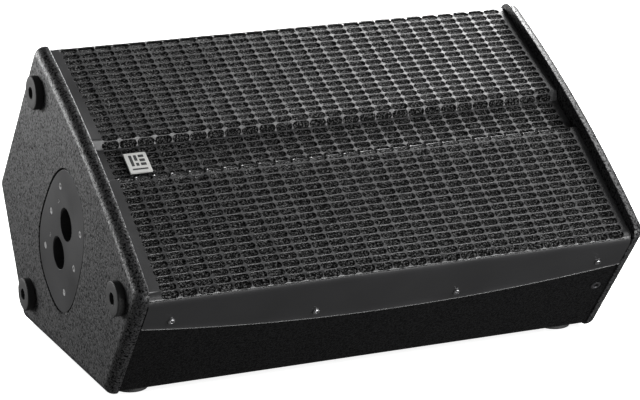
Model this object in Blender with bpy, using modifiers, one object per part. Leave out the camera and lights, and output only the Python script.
"""Stage monitor wedge: a 12-inch two-way powered loudspeaker in its monitor position.

Metres, +Z up. The cabinet's length runs along X, its grille faces -Y and up, and it stands on its
rubber feet at z = 0. The origin is under the middle of the whole object.

The cross-section is a five-sided outline. Its corners are A (top ridge), B (rear), C (rear
bottom), D (front bottom) and E (front nose), and it is drawn with D at (0, 0).
"""

import math

import bmesh
import bpy
from mathutils import Matrix, Vector

# Cabinet outline
CABINET_LENGTH = 0.600
FLOOR_DEPTH = 0.2835
KICK_HEIGHT = 0.1765
KICK_ANGLE = math.radians(53.1)
CHORD_LENGTH = 0.3780
CHORD_ANGLE = math.radians(32.09)
REAR_HEIGHT = 0.1648
REAR_LEAN = math.radians(27.4)
RIM_SAGITTA = 0.0129
CORNER_RADII = {"A": 0.020, "B": 0.0125, "C": 0.0120, "D": 0.0130, "E": 0.014}

# Wooden panels
END_THICKNESS = 0.014
EDGE_RADIUS = 0.0115
ARRIS = 0.0005
EDGE_STEPS = 4
WALL = 0.015
BODY_INSET = 0.0018
BAFFLE_DEPTH = 0.034
BRACE_X = 0.049
BRACE_THICKNESS = 0.012
BRACE_BORDER = 0.034
GAP = 0.0003
TOP_CUT = -0.0225
NOSE_CUT = -0.0190
WADDING = (0.220, 0.160, 0.024)
WADDING_AT = (-0.105, 0.130)

# Grille, as points (along the chord towards A, height above the chord)
SHEET = 0.0012
SHEET_INSET = 0.0003
SHEET_SIDE_GAP = 0.0010
LOWER_FOOT = Vector((-0.1760, -0.0085))
LOWER_HEAD = Vector((-0.0245, 0.0006))
RECESS_FOOT = Vector((-0.0195, -0.0060))
RECESS_HEAD = Vector((0.0252, -0.0070))
UPPER_FOOT = Vector((0.0324, 0.0028))
UPPER_HEAD = Vector((0.1750, -0.0090))
NOSE_BEND = 0.008
FOLD_BEND = 0.0026
TOP_FLANGE = 0.026
KICK_FLANGE_MIDDLE = 0.0741
KICK_FLANGE_END = 0.0486
FOAM = 0.004
FOAM_SHORTFALL = 0.012
GRILLE_SCREWS = [(-0.2540, 0.1289), (-0.0840, 0.1091), (0.0840, 0.1091), (0.2540, 0.1289)]

# Pole mount on the left end
POLE_CENTRE = (0.1341, 0.1375)
POLE_ANGLE = math.radians(34.4)
POLE_PLATE_HALF = (0.0612, 0.0880)
POLE_PLATE_POWER = 2.5
POLE_PLATE_TAPER = 0.12
POLE_PLATE_SHIFT = 0.001
POLE_PLATE_THICKNESS = 0.004
POLE_PLATE_SET_BACK = 0.0005
POLE_BORE_RADIUS = 0.018
POLE_BORE_SPACING = 0.048
POLE_BORE_TILTS = (math.radians(7), math.radians(3))
POLE_BORE_DEPTH = 0.066
POLE_BOSS_DEPTH = 0.071
POLE_BOSS_RADIUS = 0.0215
POLE_BOSS_HALF_RUN = 0.0290
POLE_SCREWS = [(0.0365, 0.0515), (-0.0360, 0.0478), (0.0428, 0.0013), (-0.0426, -0.0014), (0.0358, -0.0490),
               (-0.0356, -0.0526)]

# Rubber feet
FOOT_RADIUS = 0.019
END_FOOT_HEIGHT = 0.0085
FLOOR_FOOT_HEIGHT = 0.0050
END_FEET = [(0.2043, 0.2875), (0.2522, 0.0396), (-0.0478, 0.1254)]
FLOOR_FOOT_X = 0.2608
FLOOR_FOOT_Y = (0.030, 0.2535)

# Woofer, with z = 0 at the front of the baffle
WOOFER_X = -0.112
WOOFER_HOLE = 0.1400
WOOFER_STEPS = 24
BASKET_PROFILE = [(0.1510, 0.0050), (0.1520, 0.0040), (0.1520, GAP), (0.1385, GAP), (0.1360, -0.0080),
                  (0.0860, -0.0840), (0.0840, -0.0875), (0.0480, -0.0875), (0.0480, -0.0845), (0.0820, -0.0845),
                  (0.0925, -0.0700), (0.1320, -0.0080), (0.1340, 0.0050)]
BASKET_WINDOW = (0.300, 0.048, 0.040)
BASKET_WINDOW_HEIGHT = -0.044
MAGNET_PROFILE = [(0.0600, -0.0880), (0.0600, -0.0960), (0.0780, -0.0960), (0.0780, -0.1200), (0.0640, -0.1200),
                  (0.0640, -0.1280), (0.0100, -0.1280), (0.0100, -0.0840), (0.0370, -0.0840), (0.0370, -0.1180),
                  (0.0450, -0.1180), (0.0450, -0.0960), (0.0398, -0.0960), (0.0398, -0.0880)]
CONE_PROFILE = [(0.1180, 0.0030), (0.1180, 0.0015), (0.0398, -0.0700), (0.0392, -0.0700), (0.0392, -0.0685),
                (0.1165, 0.0030)]
COIL_PROFILE = [(0.0389, -0.0640), (0.0389, -0.1040), (0.0379, -0.1040), (0.0379, -0.0640)]
DUST_CAP_RADIUS = 0.0420
DUST_CAP_RISE = 0.0130
DUST_CAP_BASE = -0.0615
DUST_CAP_WALL = 0.0010
SURROUND_EDGES = (0.1184, 0.1336)
SURROUND_BASE = 0.0036
SURROUND_WALL = 0.0010
SPIDER_EDGES = (0.0402, 0.0875)
SPIDER_HEIGHT = -0.0745
SPIDER_FOLD = 0.0012
SPIDER_WALL = 0.0008

# Horn, driver and ports, with z = 0 at the front of the baffle
HORN_X = 0.172
HORN_MOUTH = (0.100, 0.066)
HORN_FLANGE = (0.108, 0.076)
HORN_THROAT = 0.0127
HORN_DEPTH = 0.110
HORN_WALL = 0.003
PORT_Y = 0.120
PORT_BORE = 0.030
PORT_WALL = 0.0025
PORT_LENGTH = 0.110
DRIVER_RADIUS = 0.0450
DRIVER_LENGTH = 0.0500

# Handle in the upper side, with z = 0 at the outline
HANDLE_X = -0.062
HANDLE_CAVITY = (0.088, 0.044)
HANDLE_CAVITY_FLOOR = (0.082, 0.036)
HANDLE_CAVITY_DEPTH = 0.048
HANDLE_FLANGE = (0.103, 0.058)
HANDLE_WALL = 0.0025
HANDLE_BAR_RADIUS = 0.010
HANDLE_BAR_DEPTH = 0.014

# Amplifier in the rear, with z = 0 at the front of its plate
AMP_X = -0.110
AMP_PLATE = (0.125, 0.065)
AMP_PLATE_THICKNESS = 0.0025
AMP_SET_BACK = 0.0113
AMP_OPENING = (0.113, 0.053)
INPUT_AT = (-0.095, 0.026)
LINK_AT = (-0.095, -0.022)
GAIN_AT = (-0.055, 0.028)
LEVEL_AT = (-0.055, -0.006)
BUTTON_AT = (-0.055, -0.034)
LED_AT = (-0.030, -0.034)
SWITCH_AT = (0.012, -0.020)
INLET_AT = (0.012, 0.024)
XLR_FLANGE = (0.013, 0.0155)
XLR_BARREL = 0.012
XLR_BORE = 0.0096
LATCH_AT = 0.0125
KNOB_RADIUS = 0.0078
KNOB_HEIGHT = 0.0100
SHAFT_RADIUS = 0.0030
SWITCH_HALF = (0.0105, 0.0150)
ROCKER_HALF = (0.0068, 0.0100)
ROCKER_TILT = math.radians(8)
INLET_HALF = (0.0155, 0.0120)
INLET_CAVITY = (0.01225, 0.00825)
SWITCH_BODY = (0.0093, 0.0136)
INLET_BODY = (0.0140, 0.0102)
HEATSINK_X = 0.0740
HEATSINK_LENGTH = 0.096
HEATSINK_HALF_WIDTH = 0.0330
HEATSINK_BASE = 0.0040
FIN_COUNT = 8
FIN_PITCH = 0.0088
FIN_THICKNESS = 0.0022
FIN_END = -0.0420
BOARD = (0.132, 0.098, 0.0016)
BOARD_AT = (-0.0430, 0, -0.0265)
TRANSFORMER_PROFILE = [(0.0330, -0.0276), (0.0370, -0.0316), (0.0370, -0.0536), (0.0330, -0.0576),
                       (0.0150, -0.0576), (0.0120, -0.0546), (0.0120, -0.0306), (0.0150, -0.0276)]
TRANSFORMER_X = -0.0500

# Badge and rigging insert
BADGE_AT = (-0.2388, -0.0005)
BADGE_HALF = (0.0128, 0.0145)
BADGE_THICKNESS = 0.002
INSERT_AT = (0.2710, 0.0790)

PARTS = "monitor_wedge"
CUTTERS = "cutters"


# ---------------------------------------------------------------- scene helpers

def clear_scene():
    for old in list(bpy.data.objects):
        bpy.data.objects.remove(old, do_unlink=True)


def make_collection(name):
    made = bpy.data.collections.new(name)
    bpy.context.scene.collection.children.link(made)
    return made


def make_material(name, color, roughness, metallic=0.0):
    made = bpy.data.materials.new(name)
    made.use_nodes = True
    shader = made.node_tree.nodes["Principled BSDF"]
    shader.inputs["Base Color"].default_value = (*color, 1.0)
    shader.inputs["Roughness"].default_value = roughness
    shader.inputs["Metallic"].default_value = metallic
    made.diffuse_color = (*color, 1.0)
    return made


def make_frame(name, origin, x_axis, y_axis, parent=None):
    """An empty with its axes along the given directions."""
    x_axis = Vector(x_axis).normalized()
    y_axis = Vector(y_axis).normalized()
    z_axis = x_axis.cross(y_axis)
    empty = bpy.data.objects.new(name, None)
    empty.empty_display_size = 0.03
    bpy.data.collections[PARTS].objects.link(empty)
    empty.parent = parent
    turn = Matrix((x_axis, y_axis, z_axis)).transposed().to_4x4()
    empty.matrix_local = Matrix.Translation(origin) @ turn
    return empty


def place(name, mesh, parent, at=(0, 0, 0), turn=(0, 0, 0), collection=PARTS):
    made = bpy.data.objects.new(name, mesh)
    bpy.data.collections[collection].objects.link(made)
    made.parent = parent
    made.location = at
    made.rotation_euler = turn
    return made


def part(name, mesh, material, parent, at=(0, 0, 0), turn=(0, 0, 0)):
    made = place(name, mesh, parent, at, turn)
    mesh.materials.append(bpy.data.materials[material])
    mesh.shade_smooth()
    mesh.set_sharp_from_angle(angle=math.radians(32))
    return made


def make_cutter(name, mesh, parent, at=(0, 0, 0), turn=(0, 0, 0)):
    made = place(name, mesh, parent, at, turn, CUTTERS)
    made.hide_render = True
    made.display_type = "WIRE"
    return made


def combine(target, other, operation="DIFFERENCE"):
    joined = target.modifiers.new(operation.lower() + "_" + other.name, "BOOLEAN")
    joined.operation = operation
    joined.object = other


# ---------------------------------------------------------------- shape helpers

def mesh_of(shape, name="shape"):
    bmesh.ops.recalc_face_normals(shape, faces=shape.faces)
    made = bpy.data.meshes.new(name)
    shape.to_mesh(made)
    shape.free()
    return made


def box(size, centre=(0, 0, 0), bevel=0.0):
    shape = bmesh.new()
    spread = Matrix.Diagonal((*size, 1.0))
    bmesh.ops.create_cube(shape, size=1.0, matrix=Matrix.Translation(centre) @ spread)
    if bevel:
        bmesh.ops.bevel(shape, geom=shape.edges[:], offset=bevel, segments=2, profile=0.5, affect="EDGES")
    return mesh_of(shape)


def cylinders(radius, low, high, positions=((0, 0),), sides=24):
    """Upright cylinders between two heights, one at each position."""
    shape = bmesh.new()
    for x, y in positions:
        middle = Matrix.Translation((x, y, (low + high) / 2))
        bmesh.ops.create_cone(shape, cap_ends=True, segments=sides, radius1=radius, radius2=radius,
                              depth=high - low, matrix=middle)
    return mesh_of(shape)


def loft(rings, closed=False):
    """A skin over rings of equally many points, with flat caps unless it closes on itself."""
    shape = bmesh.new()
    loops = [[shape.verts.new(point) for point in ring] for ring in rings]
    pairs = list(zip(loops, loops[1:]))
    if closed:
        pairs.append((loops[-1], loops[0]))
    else:
        shape.faces.new(loops[0])
        shape.faces.new(loops[-1])
    for first, second in pairs:
        for i in range(len(first)):
            j = (i + 1) % len(first)
            shape.faces.new((first[i], first[j], second[j], second[i]))
    return mesh_of(shape)


def rounded_ring(half, radius, height, steps=4):
    """A level rounded rectangle, or a circle where the radius is half of its width."""
    points = []
    for quarter, (sign_x, sign_y) in enumerate([(1, 1), (-1, 1), (-1, -1), (1, -1)]):
        centre = Vector((sign_x * (half[0] - radius), sign_y * (half[1] - radius)))
        for step in range(steps + 1):
            angle = math.radians(90) * (quarter + step / steps)
            points.append((centre.x + radius * math.cos(angle), centre.y + radius * math.sin(angle), height))
    return points


def stack(*levels, steps=4, closed=False):
    """A loft over rounded rectangles, each given as ((half x, half y), corner radius, height)."""
    rings = [rounded_ring(half, max(radius, 0.0001) * 0.999, height, steps) for half, radius, height in levels]
    return loft(rings, closed)


def plate(outline, thickness):
    """A flat sheet with the given outline, centred on z = 0."""
    curve = bpy.data.curves.new("outline", "CURVE")
    curve.dimensions = "2D"
    curve.fill_mode = "BOTH"
    curve.extrude = thickness / 2
    spline = curve.splines.new("POLY")
    spline.points.add(len(outline) - 1)
    for point, (x, y) in zip(spline.points, outline):
        point.co = (x, y, 0, 1)
    spline.use_cyclic_u = True
    holder = place("outline", curve, None)
    graph = bpy.context.evaluated_depsgraph_get()
    made = bpy.data.meshes.new_from_object(holder.evaluated_get(graph))
    bpy.data.objects.remove(holder)
    shape = bmesh.new()
    shape.from_mesh(made)
    bmesh.ops.remove_doubles(shape, verts=shape.verts, dist=0.000001)
    bpy.data.meshes.remove(made)
    return mesh_of(shape)


def turned_mesh(profile, ring):
    made = bpy.data.meshes.new("profile")
    edges = [(i, i + 1) for i in range(len(profile) - 1)]
    if ring:
        edges.append((len(profile) - 1, 0))
    made.from_pydata([(radius, 0, height) for radius, height in profile], edges, [])
    return made


def spin(made, steps):
    screw = made.modifiers.new("turn", "SCREW")
    screw.axis = "Z"
    screw.angle = math.tau
    screw.steps = steps
    screw.render_steps = steps
    screw.use_merge_vertices = True
    screw.merge_threshold = 0.00001
    screw.use_smooth_shade = True
    return made


def turned(name, profile, material, parent, at=(0, 0, 0), steps=24, ring=False):
    """A piece turned about Z from points (radius, height) that run down its outer side."""
    made = place(name, turned_mesh(profile, ring), parent, at)
    made.data.materials.append(bpy.data.materials[material])
    return spin(made, steps)


def turned_cutter(name, profile, parent, at=(0, 0, 0), steps=12):
    return spin(make_cutter(name, turned_mesh(profile, False), parent, at), steps)


# ---------------------------------------------------------------- outline geometry

def direction(angle):
    return Vector((math.cos(angle), math.sin(angle)))


def find_corners():
    """The five virtual corners of the cross-section, as (y, z)."""
    front = Vector((0.0, 0.0))
    rear_bottom = Vector((FLOOR_DEPTH, 0.0))
    nose = Vector((-math.cos(KICK_ANGLE), math.sin(KICK_ANGLE))) * KICK_HEIGHT
    rear = rear_bottom + Vector((math.sin(REAR_LEAN), math.cos(REAR_LEAN))) * REAR_HEIGHT
    return {"A": nose + direction(CHORD_ANGLE) * CHORD_LENGTH, "B": rear, "C": rear_bottom, "D": front, "E": nose}


CORNERS = find_corners()
CHORD_MIDDLE = (CORNERS["A"] + CORNERS["E"]) / 2
CHORD_UP = direction(CHORD_ANGLE)
CHORD_OUT = direction(CHORD_ANGLE + math.radians(90))


def side(names, inset=0.0):
    """The line of a side, moved inwards, as (point, direction). Sides run clockwise: A, B, C, D, E."""
    start, end = CORNERS[names[0]], CORNERS[names[1]]
    along = (end - start).normalized()
    inwards = Vector((along.y, -along.x))
    return start + inwards * inset, along


def chord_line(height):
    """The line parallel to the chord from E to A at a height above it."""
    return CHORD_MIDDLE + CHORD_OUT * height, CHORD_UP


def meet(first, second):
    """Where two lines cross."""
    (p, d), (q, e) = first, second
    return p + d * ((q - p).cross(e) / d.cross(e))


def rim_circle(inset):
    radius = (CHORD_LENGTH ** 2 / 4 + RIM_SAGITTA ** 2) / (2 * RIM_SAGITTA)
    return CHORD_MIDDLE + CHORD_OUT * (RIM_SAGITTA - radius), radius - inset


def meet_rim(line, near, inset):
    """Where a line crosses the curved rim, close to a corner."""
    point, along = line
    centre, radius = rim_circle(inset)
    middle = point + along * (centre - point).dot(along)
    half = math.sqrt(radius ** 2 - (middle - centre).length ** 2)
    return min((middle + along * half, middle - along * half), key=lambda found: (found - near).length)


def fillet(corner, before, after, radius, steps=5):
    """The arc that rounds a corner, from the side before it to the side after it."""
    half = before.angle(after) / 2
    centre = corner + (before + after).normalized() * (radius / math.sin(half))
    reach = radius / math.tan(half)
    first = corner + before * reach - centre
    last = corner + after * reach - centre
    start = math.atan2(first.y, first.x)
    sweep = math.remainder(math.atan2(last.y, last.x) - start, math.tau)
    return [centre + direction(start + sweep * i / steps) * radius for i in range(steps + 1)]


def rim_outline(inset, rim_steps=12):
    """The end panel's outline, moved inwards, with its rounded corners and curved rim."""
    lines = {names: side(names, inset) for names in ("AB", "BC", "CD", "DE")}
    centre, radius = rim_circle(inset)
    top = meet_rim(lines["AB"], CORNERS["A"], inset)
    nose = meet_rim(lines["DE"], CORNERS["E"], inset)
    radii = {name: CORNER_RADII[name] - inset for name in CORNERS}
    down_rim = Vector((top.y - centre.y, centre.x - top.x)).normalized() * -1
    up_rim = Vector((nose.y - centre.y, centre.x - nose.x)).normalized()
    outline = fillet(top, down_rim, lines["AB"][1], radii["A"])
    for name, into, out in (("B", "AB", "BC"), ("C", "BC", "CD"), ("D", "CD", "DE")):
        outline += fillet(meet(lines[into], lines[out]), -lines[into][1], lines[out][1], radii[name])
    outline += fillet(nose, -lines["DE"][1], up_rim, radii["E"])
    start = (outline[-1] - centre).angle_signed(Vector((1, 0)))
    end = (outline[0] - centre).angle_signed(Vector((1, 0)))
    for step in range(1, rim_steps):
        outline.append(centre + direction(start + (end - start) * step / rim_steps) * radius)
    return outline


def to_chord(point):
    """A cross-section point as (along the chord towards A, height above it)."""
    offset = point - CHORD_MIDDLE
    return Vector((offset.dot(CHORD_UP), offset.dot(CHORD_OUT)))


def panel_outline(names, start_cut=None, end_cut=None):
    """A body panel's section along one side: mitred at corners, or cut along a line at an end."""
    outer, inner = side(names, BODY_INSET), side(names, BODY_INSET + WALL)
    order = "ABCDE"
    along = outer[1]
    if start_cut:
        head = [meet(start_cut, outer)]
        head_inner = meet(start_cut, inner)
    else:
        before = order[order.index(names[0]) - 1] + names[0]
        arc = fillet(meet(side(before, BODY_INSET), outer), -side(before)[1], along, CORNER_RADII[names[0]])
        head = arc[len(arc) // 2:]
        head_inner = meet(side(before, BODY_INSET + WALL), inner)
    if end_cut:
        tail = [meet(end_cut, outer)]
        tail_inner = meet(end_cut, inner)
    else:
        after = names[1] + order[(order.index(names[1]) + 1) % len(order)]
        arc = fillet(meet(outer, side(after, BODY_INSET)), -along, side(after)[1], CORNER_RADII[names[1]])
        tail = arc[:len(arc) // 2 + 1]
        tail_inner = meet(inner, side(after, BODY_INSET + WALL))
    shrink = along * (GAP / 2)
    head[0] += shrink
    tail[-1] -= shrink
    return head + tail + [tail_inner - shrink, head_inner + shrink]


# ---------------------------------------------------------------- cabinet

def end_panel(name, parent, outer_x, inward):
    """A plate with its outer edge rounded over. inward is +1 or -1 along X."""
    levels = []
    for step in range(EDGE_STEPS + 1):
        angle = math.radians(90) * (1 - step / EDGE_STEPS)
        levels.append((EDGE_RADIUS * (1 - math.sin(angle)), EDGE_RADIUS * (1 - math.cos(angle))))
    levels += [(END_THICKNESS - ARRIS, 0.0), (END_THICKNESS, ARRIS)]
    rings = []
    for depth, inset in levels:
        rings.append([(p.x, p.y, outer_x + inward * depth) for p in rim_outline(inset)])
    return part(name, loft(rings), "cabinet_paint", parent)


def make_cabinet(frames):
    section = frames["section"]
    half = CABINET_LENGTH / 2
    end_panel("end_panel_left", section, -half, 1)
    end_panel("end_panel_right", section, half, -1)
    run = CABINET_LENGTH - 2 * (END_THICKNESS + GAP)
    outlines = {
        "upper_side_panel": panel_outline("AB", start_cut=chord_line(TOP_CUT)),
        "rear_panel": panel_outline("BC"),
        "floor_side_panel": panel_outline("CD"),
        "lower_front_panel": panel_outline("DE", end_cut=chord_line(NOSE_CUT)),
    }
    for name, outline in outlines.items():
        part(name, plate(outline, run), "cabinet_paint", section)

    inside = BODY_INSET + WALL + GAP
    baffle_front, baffle_back = chord_line(-BAFFLE_DEPTH), chord_line(-BAFFLE_DEPTH - WALL)
    outline = [meet(line, side(names, inside)) for line in (baffle_front, baffle_back) for names in ("AB", "DE")]
    outline[2], outline[3] = outline[3], outline[2]
    part("front_baffle", plate(outline, run), "bare_wood", section)

    behind = chord_line(-BAFFLE_DEPTH - WALL - GAP)
    lines = [behind] + [side(names, inside) for names in ("AB", "BC", "CD", "DE")]
    outline = [meet(first, second) for first, second in zip(lines, lines[1:] + lines[:1])]
    brace = part("internal_brace", plate(outline, BRACE_THICKNESS), "bare_wood", section, (0, 0, BRACE_X))
    lines = [chord_line(-BAFFLE_DEPTH - WALL - BRACE_BORDER)]
    lines += [side(names, inside + BRACE_BORDER) for names in ("AB", "BC", "CD", "DE")]
    window = [meet(first, second) for first, second in zip(lines, lines[1:] + lines[:1])]
    cutter = make_cutter("brace_window", plate(window, 2 * BRACE_THICKNESS), section, (0, 0, BRACE_X))
    combine(brace, cutter)

    floor_top = BODY_INSET + WALL + 2 * GAP
    pad = box(WADDING, (*WADDING_AT, floor_top + WADDING[2] / 2), 0.005)
    part("acoustic_wadding", pad, "wadding", frames["cabinet"])


def make_feet(frames):
    def foot(height):
        """A rubber foot's section: a flat ring with a countersunk screw hole."""
        return [(FOOT_RADIUS - 0.0015, height), (FOOT_RADIUS, height - 0.0015), (FOOT_RADIUS, GAP),
                (0.0025, GAP), (0.0025, height * 0.35), (0.0062, height * 0.35), (0.0066, height)]

    for number, (y, z) in enumerate(END_FEET, 1):
        turned("end_foot_%d" % number, foot(END_FOOT_HEIGHT), "rubber", frames["left_end"], (-y, z, 0), 20, True)
    number = 0
    for x in (-FLOOR_FOOT_X, FLOOR_FOOT_X):
        for y in FLOOR_FOOT_Y:
            number += 1
            height = FLOOR_FOOT_HEIGHT + BODY_INSET
            turned("floor_foot_%d" % number, foot(height), "rubber", frames["floor"], (x, -y, -BODY_INSET), 20, True)


# ---------------------------------------------------------------- grille

def rounded_path(points, radii, steps):
    path = [points[0]]
    for before, corner, after, radius in zip(points, points[1:], points[2:], radii):
        path += fillet(corner, (before - corner).normalized(), (after - corner).normalized(), radius, steps)
    return path + [points[-1]]


def offset_path(path, distance):
    """The path moved to its right, square to it at each point."""
    moved = []
    for i, point in enumerate(path):
        into = (point - path[max(i - 1, 0)]).normalized() if i else None
        out = (path[i + 1] - point).normalized() if i + 1 < len(path) else None
        into, out = into or out, out or into
        normal = Vector((into.y + out.y, -into.x - out.x)).normalized()
        moved.append(point + normal * (distance / normal.dot(Vector((into.y, -into.x)))))
    return moved


def grille_points():
    """The outer face of the formed sheet, from its kick flange over the nose to its top flange."""
    lower = (LOWER_FOOT, (LOWER_HEAD - LOWER_FOOT).normalized())
    upper = (UPPER_FOOT, (UPPER_HEAD - UPPER_FOOT).normalized())
    kick_point, kick_along = side("DE", SHEET_INSET)
    kick = (to_chord(kick_point), to_chord(CHORD_MIDDLE + kick_along))
    top_point, top_along = side("AB", SHEET_INSET)
    top = (to_chord(top_point), to_chord(CHORD_MIDDLE + top_along))
    nose, ridge = meet(lower, kick), meet(upper, top)
    return [nose, LOWER_HEAD, RECESS_FOOT, RECESS_HEAD, UPPER_FOOT, ridge], kick[1], top[1]


def kick_flange_length(x):
    """How far the kick flange reaches down from the nose: its lower edge is an arc."""
    drop = KICK_FLANGE_MIDDLE - KICK_FLANGE_END
    half = CABINET_LENGTH / 2 - END_THICKNESS
    radius = (half ** 2 + drop ** 2) / (2 * drop)
    return KICK_FLANGE_MIDDLE - (radius - math.sqrt(radius ** 2 - x ** 2))


def make_grille(frames):
    corners, kick_along, top_along = grille_points()
    half = CABINET_LENGTH / 2 - END_THICKNESS - SHEET_SIDE_GAP
    columns = 12
    radii = [NOSE_BEND] + [FOLD_BEND] * 4 + [NOSE_BEND]
    rings = []
    for column in range(columns + 1):
        x = half * (2 * column / columns - 1)
        points = [corners[0] - kick_along * kick_flange_length(x)] + corners
        points.append(corners[-1] + top_along * TOP_FLANGE)
        outer = rounded_path(points, radii, 3)
        inner = offset_path(outer, SHEET)
        rings.append([(x, p.x, p.y) for p in outer + inner[::-1]])
    grille = part("grille", loft(rings), "grille_steel", frames["baffle"])

    sheet = rounded_path([corners[0]] + corners[1:-1] + [corners[-1]], [FOLD_BEND] * 4, 3)
    start, end = sheet[1] - sheet[0], sheet[-1] - sheet[-2]
    sheet[0] += start.normalized() * FOAM_SHORTFALL
    sheet[-1] -= end.normalized() * FOAM_SHORTFALL
    front, back = offset_path(sheet, SHEET + GAP), offset_path(sheet, SHEET + GAP + FOAM)
    rings = [[(x, p.x, p.y) for p in front + back[::-1]] for x in (GAP - half, half - GAP)]
    part("grille_foam", loft(rings), "foam", frames["baffle"])

    holes = make_cutter("grille_screw_holes", cylinders(0.0022, -0.020, 0.004, GRILLE_SCREWS, 12), frames["kick"])
    combine(grille, holes)
    combine(bpy.data.objects["lower_front_panel"], holes)
    top = -SHEET_INSET + GAP
    head = [(0, top + 0.0022), (0.0020, top + 0.0019), (0.0036, top + 0.0008), (0.0038, top),
            (0.0019, top), (0.0019, -0.0145), (0, -0.0160)]
    for number, (x, y) in enumerate(GRILLE_SCREWS, 1):
        turned("grille_screw_%d" % number, head, "screw_steel", frames["kick"], (x, y, 0), 12)

    base = max(RECESS_FOOT.y, RECESS_HEAD.y) + GAP
    top = base + BADGE_THICKNESS
    badge = stack(((BADGE_HALF[0] - 0.0004, BADGE_HALF[1] - 0.0004), 0.0006, top),
                  (BADGE_HALF, 0.0010, top - 0.0004), (BADGE_HALF, 0.0010, base), steps=2)
    part("badge_plate", badge, "badge_paint", frames["baffle"], (*BADGE_AT, 0))


# ---------------------------------------------------------------- pole mount, insert

def plate_outline(margin=0.0, count=36):
    """The pole plate's outline, moved outwards: a rounded oval that narrows towards its top."""
    points = []
    for i in range(count):
        angle = math.tau * i / count
        cosine, sine = math.cos(angle), math.sin(angle)
        height = math.copysign(abs(sine) ** (2 / POLE_PLATE_POWER), sine)
        width = math.copysign(abs(cosine) ** (2 / POLE_PLATE_POWER), cosine) * (1 - POLE_PLATE_TAPER * height)
        half_width, half_height = (size + margin for size in POLE_PLATE_HALF)
        points.append((half_width * width, half_height * height + POLE_PLATE_SHIFT))
    return points


def slot_outline(radius, half_run, steps=7):
    points = []
    for sign in (1, -1):
        for step in range(steps + 1):
            angle = math.pi * step / steps + (0 if sign > 0 else math.pi)
            points.append((radius * math.cos(angle), sign * half_run + radius * math.sin(angle)))
    return points


def make_pole_mount(frames):
    pole = frames["pole"]
    panel = bpy.data.objects["end_panel_left"]
    back = POLE_PLATE_SET_BACK + POLE_PLATE_THICKNESS
    body = part("pole_plate", plate(plate_outline(), POLE_PLATE_THICKNESS), "satin_plastic", pole,
                (0, 0, POLE_PLATE_THICKNESS / 2 - back))
    boss_height = POLE_BOSS_DEPTH - back + 0.001
    boss = make_cutter("pole_boss", plate(slot_outline(POLE_BOSS_RADIUS, POLE_BOSS_HALF_RUN), boss_height),
                       pole, (0, 0, 0.001 - back - boss_height / 2))
    combine(body, boss, "UNION")
    for number, (sign, tilt) in enumerate(zip((1, -1), POLE_BORE_TILTS), 1):
        bore = cylinders(POLE_BORE_RADIUS, -POLE_BORE_DEPTH, 0.010, sides=24)
        mouth = (0, sign * POLE_BORE_SPACING / 2, -POLE_PLATE_SET_BACK)
        combine(body, make_cutter("pole_bore_%d" % number, bore, pole, mouth, (-tilt, 0, 0)))

    rebate = plate(plate_outline(0.0010), 2 * (back + GAP))
    combine(panel, make_cutter("pole_rebate", rebate, pole))
    opening = plate(slot_outline(POLE_BOSS_RADIUS + 0.001, POLE_BOSS_HALF_RUN), 0.060)
    combine(panel, make_cutter("pole_opening", opening, pole))

    top = -POLE_PLATE_SET_BACK - 0.0001
    shank_end = -END_THICKNESS + 0.0015
    head = [(0, top), (0.0038, top), (0.0038, top - 0.0004), (0.0018, top - 0.0022), (0.0018, shank_end + 0.001),
            (0, shank_end)]
    hole = [(0, 0.002), (0.0042, 0.002), (0.0042, top - 0.0005), (0.0021, top - 0.0026),
            (0.0021, shank_end - 0.0006), (0, shank_end - 0.0006)]
    for number, (x, y) in enumerate(POLE_SCREWS, 1):
        turned("pole_plate_screw_%d" % number, head, "screw_steel", pole, (x, y, 0), 12)
        cutter = turned_cutter("pole_screw_hole_%d" % number, hole, pole, (x, y, 0))
        combine(body, cutter)
        combine(panel, cutter)

    front = -BODY_INSET
    insert = [(0.0042, front + 0.0009), (0.0056, front + 0.0009), (0.0060, front + 0.0004), (0.0060, front + GAP),
              (0.0044, front + GAP), (0.0044, front - 0.0120), (0.0030, front - 0.0120), (0.0030, front - 0.0010)]
    turned("rigging_insert", insert, "screw_steel", frames["kick"], (*INSERT_AT, 0), 12, True)
    hole = make_cutter("insert_hole", cylinders(0.0047, -0.0200, 0.0, sides=12), frames["kick"], (*INSERT_AT, 0))
    combine(bpy.data.objects["lower_front_panel"], hole)


# ---------------------------------------------------------------- woofer, horn, ports

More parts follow.
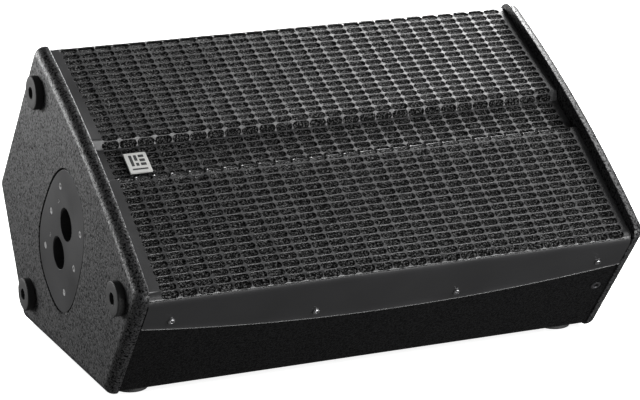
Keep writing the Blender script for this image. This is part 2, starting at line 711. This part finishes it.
def make_woofer(frames):
    woofer = frames["woofer"]
    baffle = bpy.data.objects["front_baffle"]
    hole = make_cutter("woofer_hole", cylinders(WOOFER_HOLE, -0.030, 0.010, sides=WOOFER_STEPS), woofer)
    combine(baffle, hole)

    body = turned("woofer_basket", BASKET_PROFILE, "cast_alloy", woofer, steps=WOOFER_STEPS, ring=True)
    for number in range(3):
        window = box(BASKET_WINDOW, (0, 0, BASKET_WINDOW_HEIGHT))
        cutter = make_cutter("basket_window_%d" % number, window, woofer, turn=(0, 0, math.pi * number / 3))
        combine(body, cutter)
    turned("woofer_magnet", MAGNET_PROFILE, "ferrite", woofer, steps=WOOFER_STEPS, ring=True)
    turned("woofer_cone", CONE_PROFILE, "paper_cone", woofer, steps=WOOFER_STEPS, ring=True)
    turned("woofer_voice_coil", COIL_PROFILE, "copper", woofer, steps=WOOFER_STEPS, ring=True)

    sphere = (DUST_CAP_RADIUS ** 2 + DUST_CAP_RISE ** 2) / (2 * DUST_CAP_RISE)
    reach = math.asin(DUST_CAP_RADIUS / sphere)
    centre = DUST_CAP_BASE + DUST_CAP_RISE - sphere
    outside = [(sphere * math.sin(reach * i / 4), centre + sphere * math.cos(reach * i / 4)) for i in range(5)]
    inside = [(radius * 0.98, height - DUST_CAP_WALL) for radius, height in reversed(outside)]
    turned("woofer_dust_cap", outside + inside, "paper_cone", woofer, steps=WOOFER_STEPS)

    middle = sum(SURROUND_EDGES) / 2
    roll = (SURROUND_EDGES[1] - SURROUND_EDGES[0]) / 2
    angles = [math.pi * i / 5 for i in range(6)]
    upper = [(middle - roll * math.cos(a), SURROUND_BASE + roll * math.sin(a)) for a in angles]
    roll -= SURROUND_WALL
    lower = [(middle - roll * math.cos(a), SURROUND_BASE + roll * math.sin(a)) for a in reversed(angles)]
    turned("woofer_surround", upper + lower, "surround_rubber", woofer, steps=WOOFER_STEPS, ring=True)

    width = SPIDER_EDGES[1] - SPIDER_EDGES[0]
    folds = [(SPIDER_EDGES[0] + width * i / 6, SPIDER_HEIGHT + SPIDER_FOLD * (-1) ** i) for i in range(7)]
    under = [(radius, height - SPIDER_WALL) for radius, height in reversed(folds)]
    turned("woofer_spider", folds + under, "spider_cloth", woofer, steps=WOOFER_STEPS, ring=True)


def make_horn(frames):
    baffle = bpy.data.objects["front_baffle"]
    horn = frames["horn"]
    lip = 0.0040
    inner, outer = [], []
    for step in range(6):
        share = step / 5
        flare = share ** 1.6
        half = [HORN_THROAT + (mouth - HORN_THROAT) * flare for mouth in HORN_MOUTH]
        radius = HORN_THROAT + (0.018 - HORN_THROAT) * share
        height = lip - (HORN_DEPTH + lip) * (1 - share)
        inner.append((half, radius, height))
        back = min(height, GAP)
        outer.append(([size + HORN_WALL for size in half], radius + HORN_WALL, back))
    flange = [(HORN_FLANGE, 0.012, lip), (HORN_FLANGE, 0.012, GAP)]
    part("horn_flare", stack(*inner, *flange, *reversed(outer), steps=3, closed=True), "horn_plastic", horn)
    opening = [size + HORN_WALL + 0.001 for size in HORN_MOUTH]
    combine(baffle, make_cutter("horn_hole", stack((opening, 0.022, -0.030), (opening, 0.022, 0.010)), horn))

    face = -HORN_DEPTH - GAP
    throat = [(0, face - 0.0120), (HORN_THROAT, face - 0.0120), (HORN_THROAT, face)]
    case = [(DRIVER_RADIUS - 0.0070, face), (DRIVER_RADIUS, face - 0.0080), (DRIVER_RADIUS, face - 0.0360),
            (DRIVER_RADIUS - 0.0050, face - 0.0360), (DRIVER_RADIUS - 0.0050, face - DRIVER_LENGTH),
            (0, face - DRIVER_LENGTH)]
    turned("compression_driver", throat + case, "ferrite", horn, steps=20)

    places = []
    for number, sign in enumerate((1, -1), 1):
        lip_radius = PORT_BORE + 0.0060
        port = [(PORT_BORE + 0.0030, 0.0030), (lip_radius, 0.0022), (lip_radius, GAP),
                (PORT_BORE + PORT_WALL, GAP), (PORT_BORE + PORT_WALL, -PORT_LENGTH), (PORT_BORE, -PORT_LENGTH),
                (PORT_BORE, -0.0040)]
        turned("port_tube_%d" % number, port, "horn_plastic", horn, (0, sign * PORT_Y, 0), 20, True)
        places.append((0, sign * PORT_Y))
    holes = cylinders(PORT_BORE + PORT_WALL + 0.0005, -0.030, 0.010, places, 20)
    combine(baffle, make_cutter("port_holes", holes, horn))


# ---------------------------------------------------------------- handle

def make_handle(frames):
    handle = frames["handle"]
    outside = [size + HANDLE_WALL for size in HANDLE_CAVITY]
    cup_floor = [size + HANDLE_WALL for size in HANDLE_CAVITY_FLOOR]
    top, flange_back = -0.0002, -BODY_INSET + GAP
    cup = stack((HANDLE_CAVITY_FLOOR, 0.012, -HANDLE_CAVITY_DEPTH), (HANDLE_CAVITY, 0.016, top - 0.0020),
                ([size + 0.0015 for size in HANDLE_CAVITY], 0.0175, top),
                ([size - 0.0010 for size in HANDLE_FLANGE], 0.019, top), (HANDLE_FLANGE, 0.020, top - 0.0010),
                (HANDLE_FLANGE, 0.020, flange_back), (outside, 0.0185, flange_back),
                (cup_floor, 0.0145, -HANDLE_CAVITY_DEPTH - HANDLE_WALL))
    part("handle_cup", cup, "satin_plastic", handle)
    opening = [size + 0.0006 for size in outside]
    cutter = make_cutter("handle_opening", stack((opening, 0.019, -0.030), (opening, 0.019, 0.010)), handle)
    combine(bpy.data.objects["upper_side_panel"], cutter)

    reach = (HANDLE_BAR_DEPTH + HANDLE_BAR_RADIUS) / HANDLE_CAVITY_DEPTH
    half = HANDLE_CAVITY[0] - (HANDLE_CAVITY[0] - HANDLE_CAVITY_FLOOR[0]) * reach - GAP
    curve = bpy.data.curves.new("handle_bar", "CURVE")
    curve.dimensions = "3D"
    curve.bevel_depth = HANDLE_BAR_RADIUS
    curve.bevel_resolution = 4
    curve.use_fill_caps = True
    spline = curve.splines.new("POLY")
    route = (-half, -half * 0.5, half * 0.5, half)
    spline.points.add(len(route) - 1)
    for point, x in zip(spline.points, route):
        point.co = (x, 0, 0, 1)
    place("handle_bar", curve, handle, (0, 0, -HANDLE_BAR_DEPTH))
    curve.materials.append(bpy.data.materials["satin_plastic"])


# ---------------------------------------------------------------- amplifier

def xlr_shell(bore):
    flange_top, flange_back, depth = 0.0023, GAP, 0.022
    return stack(((bore, bore), bore, -0.0160), ((bore, bore), bore, flange_top),
                 (XLR_FLANGE, 0.003, flange_top), (XLR_FLANGE, 0.003, flange_back),
                 ((XLR_BARREL, XLR_BARREL), XLR_BARREL, flange_back),
                 ((XLR_BARREL, XLR_BARREL), XLR_BARREL, -depth), steps=4)


def make_amplifier(frames):
    rear, amp = frames["rear"], frames["amp"]
    panel = bpy.data.objects["rear_panel"]
    shelf = -AMP_SET_BACK - AMP_PLATE_THICKNESS - GAP
    rebate = [size + 0.001 for size in AMP_PLATE]
    cutter = stack((rebate, 0.004, shelf), (rebate, 0.004, 0.010), steps=2)
    combine(panel, make_cutter("amp_rebate", cutter, rear, (-AMP_X, 0, 0)))
    cutter = stack((AMP_OPENING, 0.004, -0.030), (AMP_OPENING, 0.004, 0.010), steps=2)
    combine(panel, make_cutter("amp_opening", cutter, rear, (-AMP_X, 0, 0)))

    back = -AMP_PLATE_THICKNESS
    front = part("amp_panel", stack((AMP_PLATE, 0.003, back), (AMP_PLATE, 0.003, 0.0), steps=2), "amp_paint", amp)
    holes = [("input", XLR_BARREL + GAP, INPUT_AT), ("link", XLR_BARREL + GAP, LINK_AT),
             ("gain", SHAFT_RADIUS + 0.00025, GAIN_AT), ("level", SHAFT_RADIUS + 0.00025, LEVEL_AT),
             ("button", 0.0033, BUTTON_AT), ("led", 0.0027, LED_AT)]
    for name, radius, at in holes:
        cutter = make_cutter(name + "_hole", cylinders(radius, -0.010, 0.010, sides=16), amp, (*at, 0))
        combine(front, cutter)
    for name, half, at in (("switch", SWITCH_BODY, SWITCH_AT), ("inlet", INLET_BODY, INLET_AT)):
        opening = box((2 * half[0] + 0.0006, 2 * half[1] + 0.0006, 0.020))
        combine(front, make_cutter(name + "_opening", opening, amp, (*at, 0)))

    socket = part("input_socket", xlr_shell(XLR_BORE), "black_plastic", amp, (*INPUT_AT, 0))
    slot = box((0.0076, 0.0040, 0.0066), (0, LATCH_AT, 0.0003))
    cutter = make_cutter("latch_slot", slot, amp, (*INPUT_AT, 0))
    combine(socket, cutter)
    combine(front, cutter)
    tab = box((0.0068, 0.0032, 0.0044), (0, 0, 0.0010), 0.0004)
    part("input_latch_tab", tab, "satin_metal", amp, (INPUT_AT[0], INPUT_AT[1] + LATCH_AT, 0))
    part("link_socket", xlr_shell(XLR_BORE), "black_plastic", amp, (*LINK_AT, 0))

    skirt = 0.0006
    knob = [(0, KNOB_HEIGHT), (0.0060, KNOB_HEIGHT), (0.0068, KNOB_HEIGHT - 0.0008), (KNOB_RADIUS, skirt + 0.0008),
            (KNOB_RADIUS, skirt), (SHAFT_RADIUS, skirt), (SHAFT_RADIUS, -0.0120), (0, -0.0120)]
    turned("gain_knob", knob, "black_plastic", amp, (*GAIN_AT, 0), 16)
    turned("level_knob", knob, "black_plastic", amp, (*LEVEL_AT, 0), 16)
    button = [(0, 0.0036), (0.0026, 0.0036), (0.0030, 0.0030), (0.0030, -0.0080), (0, -0.0080)]
    turned("mode_button", button, "grey_plastic", amp, (*BUTTON_AT, 0), 12)
    led = [(0, 0.0022), (0.0014, 0.0018), (0.0024, 0.0006), (0.0024, -0.0060), (0, -0.0060)]
    turned("status_led", led, "led_lens", amp, (*LED_AT, 0), 12)

    frame = stack(((0.0075, 0.0115), 0.001, -0.0140), ((0.0075, 0.0115), 0.001, 0.0014),
                  ((0.0083, 0.0123), 0.001, 0.0018), ((0.0101, 0.0146), 0.002, 0.0018),
                  (SWITCH_HALF, 0.0024, 0.0014), (SWITCH_HALF, 0.0024, GAP), (SWITCH_BODY, 0.001, GAP),
                  (SWITCH_BODY, 0.001, -0.0200), steps=2)
    part("power_switch_frame", frame, "black_plastic", amp, (*SWITCH_AT, 0))
    rocker = plate([(-ROCKER_HALF[1], -0.0040), (ROCKER_HALF[1], -0.0040), (ROCKER_HALF[1], 0.0060),
                    (0.0, 0.0046), (-ROCKER_HALF[1], 0.0060)], 2 * ROCKER_HALF[0])
    part("power_switch_rocker", rocker, "red_plastic", frames["rocker"])

    inlet = stack((INLET_CAVITY, 0.003, -0.0160), (INLET_CAVITY, 0.003, 0.0026), (INLET_HALF, 0.002, 0.0026),
                  (INLET_HALF, 0.002, GAP), (INLET_BODY, 0.001, GAP), (INLET_BODY, 0.001, -0.0210), steps=2)
    part("mains_inlet", inlet, "black_plastic", amp, (*INLET_AT, 0))

    make_amp_inside(amp, back - GAP)


def make_amp_inside(amp, face):
    """The heatsink, circuit board and transformer behind the panel's back face."""
    root = face - HEATSINK_BASE
    comb = [(HEATSINK_HALF_WIDTH, face)]
    for i in range(FIN_COUNT):
        right = HEATSINK_HALF_WIDTH - i * FIN_PITCH
        left = right - FIN_THICKNESS
        if i:
            comb.append((right, root))
        comb += [(right, FIN_END), (left, FIN_END), (left, root)]
    comb += [(-HEATSINK_HALF_WIDTH, root), (-HEATSINK_HALF_WIDTH, face)]
    part("amp_heatsink", plate(comb, HEATSINK_LENGTH), "aluminium", amp, (HEATSINK_X, 0, 0), (math.radians(90), 0, 0))
    part("amp_circuit_board", box(BOARD, BOARD_AT), "circuit_board", amp)
    turned("power_transformer", TRANSFORMER_PROFILE, "copper", amp, (TRANSFORMER_X, 0, 0), 20, True)


# ---------------------------------------------------------------- assembly

MATERIALS = {
    "cabinet_paint": ((0.030, 0.030, 0.031), 0.62, 0.0),
    "grille_steel": ((0.045, 0.045, 0.047), 0.42, 0.3),
    "foam": ((0.012, 0.012, 0.012), 0.95, 0.0),
    "screw_steel": ((0.30, 0.30, 0.31), 0.35, 0.9),
    "badge_paint": ((0.80, 0.80, 0.79), 0.40, 0.0),
    "satin_plastic": ((0.045, 0.045, 0.047), 0.48, 0.0),
    "black_plastic": ((0.016, 0.016, 0.017), 0.40, 0.0),
    "grey_plastic": ((0.30, 0.30, 0.30), 0.45, 0.0),
    "red_plastic": ((0.50, 0.02, 0.02), 0.30, 0.0),
    "led_lens": ((0.05, 0.60, 0.10), 0.20, 0.0),
    "rubber": ((0.022, 0.022, 0.022), 0.75, 0.0),
    "surround_rubber": ((0.018, 0.018, 0.018), 0.60, 0.0),
    "bare_wood": ((0.055, 0.045, 0.038), 0.70, 0.0),
    "wadding": ((0.62, 0.62, 0.60), 0.95, 0.0),
    "cast_alloy": ((0.06, 0.06, 0.065), 0.50, 0.6),
    "ferrite": ((0.05, 0.05, 0.052), 0.55, 0.5),
    "paper_cone": ((0.030, 0.029, 0.028), 0.85, 0.0),
    "spider_cloth": ((0.45, 0.30, 0.12), 0.90, 0.0),
    "copper": ((0.60, 0.28, 0.12), 0.35, 0.9),
    "horn_plastic": ((0.020, 0.020, 0.021), 0.45, 0.0),
    "amp_paint": ((0.035, 0.035, 0.037), 0.50, 0.3),
    "aluminium": ((0.60, 0.60, 0.61), 0.35, 0.9),
    "circuit_board": ((0.02, 0.16, 0.07), 0.45, 0.0),
    "satin_metal": ((0.45, 0.45, 0.46), 0.35, 0.9),
}


def to_3d(point, x=0.0):
    return Vector((x, point.x, point.y))


def make_frames():
    """Empties on the cabinet's faces, with z pointing out of each face."""
    outline = rim_outline(0.0)
    lows, highs = min(p.x for p in outline), max(p.x for p in outline)
    centre = (END_FOOT_HEIGHT / 2, -(lows + highs) / 2, FLOOR_FOOT_HEIGHT)
    cabinet = make_frame("cabinet_frame", centre, (1, 0, 0), (0, 1, 0))
    left, right = Vector((-1, 0, 0)), Vector((1, 0, 0))

    def on_side(name, names, x_axis, upward):
        middle = (CORNERS[names[0]] + CORNERS[names[1]]) / 2
        return make_frame(name, to_3d(middle), x_axis, to_3d(upward), cabinet)

    along = {names: side(names)[1] for names in ("AB", "BC", "CD", "DE")}
    frames = {
        "cabinet": cabinet,
        "section": make_frame("section_frame", (0, 0, 0), (0, 1, 0), (0, 0, 1), cabinet),
        "baffle": make_frame("baffle_frame", to_3d(CHORD_MIDDLE), right, to_3d(CHORD_UP), cabinet),
        "kick": make_frame("kick_frame", (0, 0, 0), right, to_3d(along["DE"]), cabinet),
        "floor": make_frame("floor_frame", (0, 0, 0), right, (0, -1, 0), cabinet),
        "rear": on_side("rear_frame", "CB", left, -along["BC"]),
        "top": on_side("top_frame", "BA", left, -along["AB"]),
        "left_end": make_frame("left_end_frame", (-CABINET_LENGTH / 2, 0, 0), (0, -1, 0), (0, 0, 1), cabinet),
    }
    forward = Vector((-math.sin(POLE_ANGLE), math.cos(POLE_ANGLE)))
    across = Vector((-forward.y, forward.x))
    middle = to_3d(Vector(POLE_CENTRE), -CABINET_LENGTH / 2)
    frames["pole"] = make_frame("pole_frame", middle, to_3d(across), to_3d(forward), cabinet)
    same = ((1, 0, 0), (0, 1, 0))
    baffle = frames["baffle"]
    frames["woofer"] = make_frame("woofer_frame", (WOOFER_X, 0, -BAFFLE_DEPTH), *same, baffle)
    frames["horn"] = make_frame("horn_frame", (HORN_X, 0, -BAFFLE_DEPTH), *same, baffle)
    frames["handle"] = make_frame("handle_frame", (-HANDLE_X, 0, 0), *same, frames["top"])
    amp = make_frame("amp_frame", (-AMP_X, 0, -AMP_SET_BACK), *same, frames["rear"])
    frames["amp"] = amp
    pivot = (*SWITCH_AT, -0.0040)
    tilted = Vector((0, math.cos(ROCKER_TILT), -math.sin(ROCKER_TILT)))
    frames["rocker"] = make_frame("rocker_frame", pivot, tilted, tilted.cross(Vector((1, 0, 0))) * -1, amp)
    return frames


def main():
    clear_scene()
    make_collection(PARTS)
    make_collection(CUTTERS)
    for name, look in MATERIALS.items():
        make_material(name, *look)
    frames = make_frames()
    make_cabinet(frames)
    make_feet(frames)
    make_grille(frames)
    make_pole_mount(frames)
    make_woofer(frames)
    make_horn(frames)
    make_handle(frames)
    make_amplifier(frames)


main()
